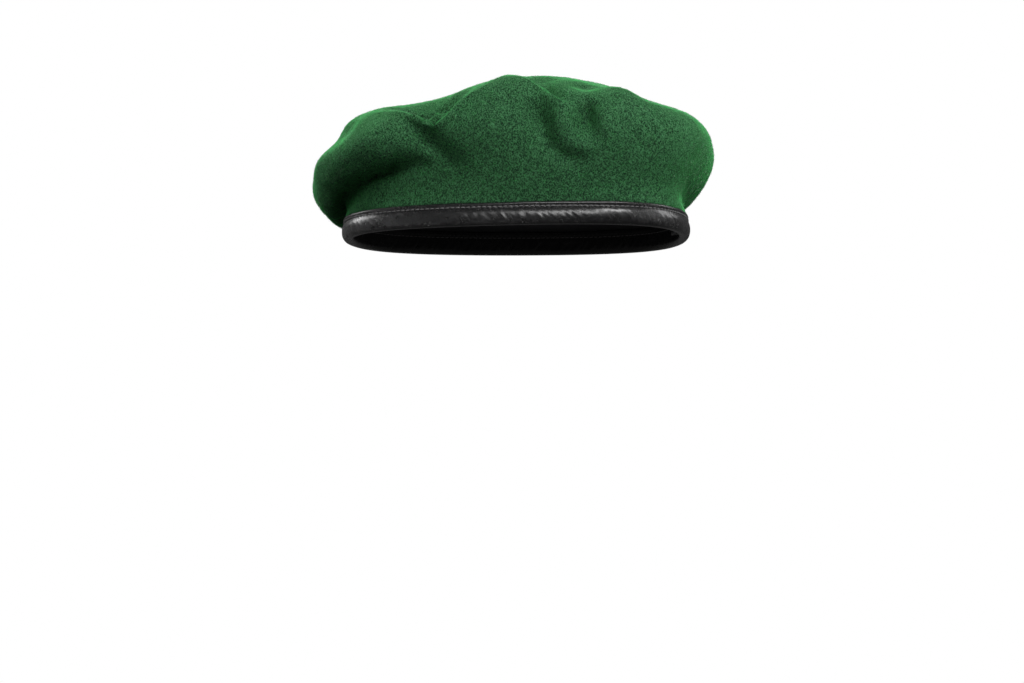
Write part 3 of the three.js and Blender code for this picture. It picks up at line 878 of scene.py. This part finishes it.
def sweep(path, ups, section, taper=None):
    """Points and faces of a closed section swept along a path; ups is its second axis, taper scales it."""
    path, section = np.asarray(path, float), np.asarray(section, float)
    count, sides = len(path), len(section)
    way = unit(np.gradient(path, axis=0))
    ups = np.broadcast_to(np.asarray(ups, float), path.shape)
    side = unit(np.cross(way, ups))
    up = np.cross(side, way)
    taper = np.ones(count) if taper is None else taper
    points = (
        path[:, None]
        + side[:, None] * (section[None, :, 0] * taper[:, None])[..., None]
        + up[:, None] * (section[None, :, 1] * taper[:, None])[..., None]
    ).reshape(-1, 3)
    faces = [tuple(f) for f in ring_faces(count, sides, closed_round=False, closed_across=True)]
    faces += [tuple(range(sides))[::-1], tuple(range((count - 1) * sides, count * sides))]
    return points, faces


def oval(half_wide, half_tall, sides, power=2.0):
    a = np.arange(sides) / sides * TURN
    c, s = np.cos(a), np.sin(a)
    squeeze = (np.abs(c) ** power + np.abs(s) ** power) ** (-1 / power)
    return np.stack([half_wide * squeeze * c, half_tall * squeeze * s], -1)


def join_up(parts):
    """Several points-and-faces pairs as one."""
    points, faces, start = [], [], 0
    for p, f in parts:
        points.append(p)
        faces += [tuple(v + start for v in face) for face in f]
        start += len(p)
    return np.concatenate(points), faces


def make_stitches(name, out, inwards, node):
    """A row of lockstitches that dip into the leather at every needle hole."""
    bearings, around_mm = bearings_by_length(STITCH_COUNT + 1, out=2.5, gap=SEAM_HALF_GAP)
    half = around_mm / STITCH_COUNT * STITCH_HALF_SHARE
    section = oval(0.31, 0.27, 8)
    t = np.linspace(-1, 1, 9)
    bow = 0.34 * (1 - np.abs(t) ** 2.4)
    taper = 0.55 + 0.45 * np.sqrt(1 - 0.92 * t**2)
    parts = []
    for angle in bearings[:-1] + np.diff(bearings) / 2:
        centre = beside_head(np.array(angle), np.array(out), STITCH_UP - 0.05)
        normal = np.append(head_normal(np.array(angle)), 0) * (-1 if inwards else 1)
        way = np.array([-normal[1], normal[0], 0])
        slant = rng.uniform(0.03, 0.09)
        path = centre + np.outer(t * half, way + (0, 0, slant)) + np.outer(bow - 0.12, normal)
        parts.append(sweep(path, (0, 0, 1), section, taper))
    points, faces = join_up(parts)
    stitches = piece_from(name, points, faces, THREAD, "thread")
    outwards(stitches)
    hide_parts(node)
    return stitches


# --- The draw tape and its knot ---

def smooth_path(points, count):
    """A smooth open curve through points, evenly spaced."""
    points = np.array(points, float)
    ends = np.vstack([2 * points[0] - points[1], points, 2 * points[-1] - points[-2]])
    u = np.linspace(0, len(points) - 1 - 1e-9, 1200)
    i = np.floor(u).astype(int)
    line = through([ends[i + k] for k in range(4)], (u - i)[:, None])
    length = lengths(line)
    even = np.linspace(0, length[-1], count)
    return np.stack([np.interp(even, length, line[:, k]) for k in range(3)], -1)


def make_draw_tape():
    """The tape lies in the fold of the binding, right round, and comes in through the slot at the back."""
    inside = head_line(np.array(BACK))[1]
    bearings, _ = bearings_by_length(420, out=-0.2, gap=7)
    out = 0 * bearings - 0.2 + 0.15 * np.sin(bearings * 23)
    ring = beside_head(bearings, out, 3.4 + 0.15 * np.sin(bearings * 31))
    first = [(-1.2, inside - 5.4, 4.3), (-1.6, inside - 3.4, 4.2), (-3.2, inside - 1.2, 3.8)]
    last = [(3.2, inside - 1.2, 3.8), (1.6, inside - 3.4, 4.2), (1.2, inside - 5.4, 4.3)]
    path = smooth_path(first + [tuple(p) for p in ring[::6]] + last, 500)
    points, faces = sweep(path, (0, 0, 1), oval(0.55, 1.5, 14, 3.0))
    tape = piece_from("draw_tape_length", points, faces, TAPE, "tape")
    outwards(tape)
    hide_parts("draw_tape")
    return tape


def make_tape_knot():
    """A reef knot: two interlocked bights, each with a short tail that lies along the inner leg."""
    centre = np.array([0, head_line(np.array(BACK))[1] - 6.4, 4.8])
    strand = [
        (-15.5, 2.0, 1.4), (-11.5, 1.7, 1.2), (-7.5, 1.3, 1.0), (-4.2, 0.2, 0.9), (-1.6, -1.0, 1.0),
        (1.4, -0.9, 1.3), (3.2, 0.1, 0.7), (3.3, 0.8, -0.6), (1.6, 0.9, -1.2), (-0.4, 0.2, -1.1),
        (-1.4, 0.9, -0.8), (-1.5, 2.2, -0.5),
    ]
    mirrored = [(-x, y * 0.9 - 0.15, -z) for x, y, z in strand]
    parts = []
    for points in (strand, mirrored):
        path = smooth_path(np.array(points), 90) + centre
        end = np.clip(np.linspace(0, 90, 90) / 2, 0.86, 1)
        parts.append(sweep(path, (0.1, 0.2, 1), oval(0.45, 1.15, 12, 3.0), end))
    points, faces = join_up(parts)
    knot = piece_from("draw_tape_reef_knot", points, faces, TAPE, "tape")
    outwards(knot)
    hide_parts("draw_tape_knot")
    return knot


# --- The lining ---

LINING_RADIUS, LINING_RUN = 90, 130  # about its radius, and the length of its profile from band to pole
LINING_GAP = 0.004  # left open at each seam, in radians and in shares
PANEL_COLUMNS, PANEL_ROWS = 260, 44
TIP_COLUMNS, TIP_SPACING, TIP_TURN_SHARE = 320, 2.0, 0.8


def lining_point(angle, share, offset):
    """The lining with its gathers, moved off its middle."""
    middle = lining_middle(angle, share)
    out = facing(lining_middle, angle, share)
    height = middle[..., 2]
    away = np.clip((height - 16) / 14, 0, 1)
    at_seam = np.exp(-(((share - LINING_SEAM) / 0.03) ** 2))
    wide = ripples(np.stack([angle * LINING_RADIUS, 0.15 * height, 0 * height], -1), 11, 31)
    narrow = ripples(np.stack([angle * LINING_RADIUS, 0.3 * height, 0 * height], -1), 5, 32)
    pleats = wide + 0.6 * narrow
    soft = ripples(middle, 28, 33)
    fade = np.clip((0.84 - share) * 5, 0, 1)
    lift = offset + away * fade * (0.28 * pleats * (1 - 0.6 * at_seam) + 0.5 * soft) - 0.5 * at_seam * away
    return middle + out * lift[..., None]


def sheet_between(name, low_angle, high_angle, low_share, high_share):
    """A closed skin of lining between two bearings and two shares."""
    columns, rows = PANEL_COLUMNS, PANEL_ROWS
    angles = np.linspace(low_angle, high_angle, columns)
    shares = np.linspace(low_share, high_share, rows)
    angle, share = grid_of(angles, shares)
    outer = lining_point(angle, share, LINING_THICK / 2)
    inner = lining_point(angle, share, -LINING_THICK / 2)
    start = len(outer)
    grid = ring_faces(columns, rows, closed_round=False)
    left, low = np.arange(rows - 1), np.arange(columns - 1) * rows
    right, high = left + (columns - 1) * rows, low + rows - 1
    rims = [
        np.stack([left, left + 1, left + 1 + start, left + start], -1),
        np.stack([right + 1, right, right + start, right + 1 + start], -1),
        np.stack([low + rows, low, low + start, low + rows + start], -1),
        np.stack([high, high + rows, high + rows + start, high + start], -1),
    ]
    faces = np.concatenate([grid, grid[:, ::-1] + start, *rims])
    both = np.concatenate([angle, angle]), np.concatenate([share, share])
    uvs = (np.stack([both[0] * LINING_RADIUS, both[1] * LINING_RUN], -1) * MM)[faces].reshape(-1, 2)
    piece = piece_from(name, np.concatenate([outer, inner]), faces, SATIN, "satin", uvs)
    outwards(piece)
    return piece


def make_lining():
    sides = {
        "lining_side_left": (-BACK + LINING_GAP, BACK - LINING_GAP),
        "lining_side_right": (BACK + LINING_GAP, 3 * BACK - LINING_GAP),
    }
    made = []
    for node, (low, high) in sides.items():
        side = sheet_between(node + "_panel", low, high, 0.02, LINING_SEAM - LINING_GAP)
        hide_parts(node)
        made.append(side)
    domes = []
    for offset in (LINING_THICK / 2, -LINING_THICK / 2):
        skin = partial(lining_point, offset=offset)
        low = LINING_SEAM + LINING_GAP
        domes.append(dome(lining_middle, TIP_COLUMNS, TIP_SPACING, low, TIP_TURN_SHARE, skin))
    points, faces = shell(*domes, TIP_COLUMNS)
    uvs = (points[:, :2] * MM)[faces].reshape(-1, 2)
    tip = piece_from("lining_tip_panel", points, faces, SATIN, "satin", uvs)
    outwards(tip)
    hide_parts("lining_tip")
    return [*made, tip]


PATCH_RINGS, PATCH_COLUMNS = 26, 96
PATCH_GAP = 0.25
LABEL_SHARE = 0.36
LABELS = {"size": (BACK - 0.02, 0.13), "care": (BACK + 0.42, 0.09)}  # bearing and half width, in radians


def patch_points(place, centre, half_size, corner, offset):
    """Points of a rounded patch: a disc with its rim squared off by corner, laid by place(x, y, offset)."""
    r = np.linspace(0, 1, PATCH_RINGS + 1)[1:]
    way, reach = grid_of(np.arange(PATCH_COLUMNS) / PATCH_COLUMNS * TURN, r)
    way, reach = np.append(way, 0), np.append(reach, 0)
    c, s = np.cos(way), np.sin(way)
    reach = reach * (np.abs(c) ** corner + np.abs(s) ** corner) ** (-1 / corner)
    return place(reach * c * half_size[0] + centre[0], reach * s * half_size[1] + centre[1], offset)


def make_patch(name, node, place, centre, half_size, corner, thick, material, slot):
    """A thin closed patch that lies on the lining."""
    top, under = (patch_points(place, centre, half_size, corner, offset) for offset in (0.0, -thick))
    start = len(top)
    hub = start - 1
    i = np.arange(PATCH_COLUMNS) * PATCH_RINGS
    j = np.roll(i, -1)
    fan = [(hub, int(a), int(b)) for a, b in zip(i, j)]
    skin = [tuple(f) for f in ring_faces(PATCH_COLUMNS, PATCH_RINGS)] + fan
    a, b = i + PATCH_RINGS - 1, j + PATCH_RINGS - 1
    rim = [tuple(f) for f in np.stack([a, b, b + start, a + start], -1)]
    faces = skin + [tuple(v + start for v in f[::-1]) for f in skin] + rim
    points = np.concatenate([top, under])
    uv = points[:, [0, 2] if slot == "label" else [0, 1]] * MM
    uvs = np.concatenate([uv[list(f)] for f in faces])
    piece = piece_from(name, points, faces, material, slot, uvs)
    outwards(piece)
    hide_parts(node)
    return piece


def make_labels():
    """The sweat guard on the lining's tip, and two woven labels on its side at the back."""
    clear = LINING_THICK / 2 + PATCH_GAP

    def on_side(angle, share, offset):
        return lining_point(angle, share, offset - clear)

    def on_tip(x, y, offset):
        return lining_point(np.arctan2(y, x), 1 - np.hypot(x, y), offset - clear)

    centre, half_size = (0, 0), (0.2, 0.2)
    guard = "sweat_guard"
    made = [make_patch(guard + "_patch", guard, on_tip, centre, half_size, 1.3, 0.4, VINYL, "vinyl")]
    for word, (bearing, half_wide) in LABELS.items():
        node, centre, half_size = word + "_label", (bearing, LABEL_SHARE), (half_wide, 0.055)
        made.append(make_patch(node + "_ribbon", node, on_side, centre, half_size, 9, 0.35, LABEL, "label"))
    return made


# --- The eyelets ---

def lathe_on_felt(name, profile, degrees, node):
    """A turned metal piece standing on the felt at an eyelet; profile is radius and height, a closed loop."""
    line = closed_spline(profile, 40)
    columns = 56
    a = np.arange(columns) / columns * TURN
    angle = np.repeat(a, len(line))
    radius, height = (np.tile(line[:, k], columns) for k in (0, 1))
    points = np.stack([radius * np.cos(angle), radius * np.sin(angle), height], -1)
    matrix = np.array(eyelet_frame(degrees))
    world = points @ matrix[:3, :3].T + matrix[:3, 3] / MM
    faces = ring_faces(columns, len(line), closed_across=True)
    piece = piece_from(name, world, faces, METAL, "blackened_metal")
    outwards(piece)
    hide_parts(node)


def make_eyelets():
    outside, inside = FELT_THICK / 2 + 0.35, -FELT_THICK / 2 - 0.45
    barrel = [
        (1.9, outside + 0.6), (1.9, inside - 1.0), (2.0, inside - 1.35), (2.5, inside - 1.5),
        (3.1, inside - 1.3), (3.2, inside - 0.95), (2.7, inside - 0.9), (2.4, inside - 0.6),
        (2.4, outside - 0.05), (2.9, outside), (4.2, outside), (4.75, outside - 0.1), (4.8, outside + 0.1),
        (4.4, outside + 0.55), (3.6, outside + 0.95), (2.7, outside + 1.05), (2.1, outside + 0.9),
    ]
    washer = [
        (2.75, inside), (2.75, inside - 0.45), (3.2, inside - 0.52), (4.5, inside - 0.42),
        (4.8, inside - 0.2), (4.6, inside),
    ]
    for side, degrees in EYELET_BEARINGS.items():
        lathe_on_felt(f"eyelet_{side}_barrel", barrel, degrees, f"eyelet_{side}")
        lathe_on_felt(f"eyelet_{side}_washer", washer, degrees, f"eyelet_washer_{side}")


# --- Stage, light and camera ---

# In metres.
FLOOR_DROP = 2.2
FLOOR_HALF = 15
SURROUND_LIGHT = 0.07  # how bright the white surround is for everything but the camera


def make_stage():
    def flat(bm):
        bmesh.ops.create_grid(bm, x_segments=1, y_segments=1, size=FLOOR_HALF)

    floor = bmesh_object("floor", flat, Matrix.Translation((0, 0, -FLOOR_DROP)))
    floor.data.materials.append(floor_material())
    floor.visible_diffuse = False
    floor.visible_glossy = False
    return floor


def light(name, kind, place, aim, power, reaches):
    """A lamp that lights only the objects of the collection reaches, or all but those that it excludes."""
    lamp = bpy.data.lights.new(name, kind)
    lamp.energy = power
    made = bpy.data.objects.new(name, lamp)
    made.location = place
    made.visible_camera = False
    made.rotation_euler = (Vector(aim) - Vector(place)).to_track_quat("-Z", "Y").to_euler()
    made.light_linking.receiver_collection = reaches
    bpy.context.scene.collection.objects.link(made)
    return lamp


def area_light(name, place, aim, size, power, reaches):
    lamp = light(name, "AREA", place, aim, power, reaches)
    lamp.shape = "RECTANGLE"
    lamp.size, lamp.size_y = size


def reached(name, pieces):
    """A collection of what a light reaches."""
    made = bpy.data.collections.new(name)
    for piece in pieces:
        made.objects.link(piece)
    return made


def make_light(floor, inside, binding):
    """A white surround for the camera, dim for everything else, and soft boxes over a low fill.

    The floor, the inside of the beret and the binding each have a light of their own.
    """
    on_floor, off_floor = reached("floor light", [floor]), reached("studio light", [floor])
    off_floor.collection_objects[0].light_linking.link_state = "EXCLUDE"
    on_inside, on_binding = reached("inside light", inside), reached("binding light", binding)
    world = bpy.data.worlds.new("studio")
    bpy.context.scene.world = world
    world.use_nodes = True
    tree = world.node_tree
    ray = tree.nodes.new("ShaderNodeLightPath")
    strength = tree.nodes.new("ShaderNodeMapRange")
    tree.links.new(ray.outputs["Is Camera Ray"], strength.inputs["Value"])
    strength.inputs["To Min"].default_value = SURROUND_LIGHT
    background = tree.nodes["Background"]
    background.inputs["Color"].default_value = (1, 1, 1, 1)
    tree.links.new(strength.outputs[0], background.inputs["Strength"])
    middle = (0, 0, 0.05)
    area_light("key", (1.25, 0.95, 1.15), middle, (0.6, 0.5), 23, off_floor)
    area_light("front", (1.72, 0.1, 0.72), middle, (1.2, 0.5), 7, off_floor)
    area_light("back at the front", (-0.7, -1.6, 0.95), middle, (1.0, 1.0), 21, off_floor)
    area_light("back at the back", (-0.7, 1.6, 0.95), middle, (1.0, 1.0), 13, off_floor)
    area_light("back above", (-1.1, 0, 1.5), middle, (1.6, 0.8), 6, off_floor)
    area_light("along the binding", (1.7, 0.22, 0.6), middle, (0.9, 0.5), 13, on_binding)
    area_light("under", (0.2, 0, -1.4), middle, (0.8, 0.8), 6, on_inside)
    light("over the floor", "SUN", (0, 0, 4), (0, 0, 0), 3.6, on_floor).angle = math.radians(30)
    bpy.context.scene.view_settings.view_transform = "Standard"


CAMERA_BEARING, CAMERA_RISE, CAMERA_ROLL = math.radians(93), math.radians(-5), math.radians(-0.35)
CAMERA_DISTANCE = 1.78
CAMERA_SHIFT = (0.0025, 0.0619)  # how far the view's centre lies from the origin, to the left and down
SENSOR_WIDTH, LENS = 36.0, 101.7


def make_camera():
    back = Vector((
        math.sin(CAMERA_BEARING) * math.cos(CAMERA_RISE),
        -math.cos(CAMERA_BEARING) * math.cos(CAMERA_RISE),
        math.sin(CAMERA_RISE),
    ))
    right = (-back).cross(Vector((0, 0, 1))).normalized()
    up = right.cross(-back)
    rolled_right = right * math.cos(CAMERA_ROLL) + up * math.sin(CAMERA_ROLL)
    rolled_up = -right * math.sin(CAMERA_ROLL) + up * math.cos(CAMERA_ROLL)
    data = bpy.data.cameras.new("camera")
    data.sensor_width, data.lens = SENSOR_WIDTH, LENS
    data.clip_start, data.clip_end = 0.05, 100
    camera = bpy.data.objects.new("camera", data)
    place = back * CAMERA_DISTANCE - rolled_right * CAMERA_SHIFT[0] - rolled_up * CAMERA_SHIFT[1]
    turn = Matrix((rolled_right, rolled_up, back)).transposed().to_4x4()
    camera.matrix_world = Matrix.Translation(place) @ turn
    bpy.context.scene.collection.objects.link(camera)
    bpy.context.scene.camera = camera


make_camera()
make_felt()
make_nap()
binding = [make_binding(), make_stitches("needle_thread_stitches", 2.35, False, "needle_thread")]
make_stitches("bobbin_thread_stitches", -3.4, True, "bobbin_thread")
inside = [make_draw_tape(), make_tape_knot(), *make_lining(), *make_labels()]
make_eyelets()
make_light(make_stage(), inside, binding)
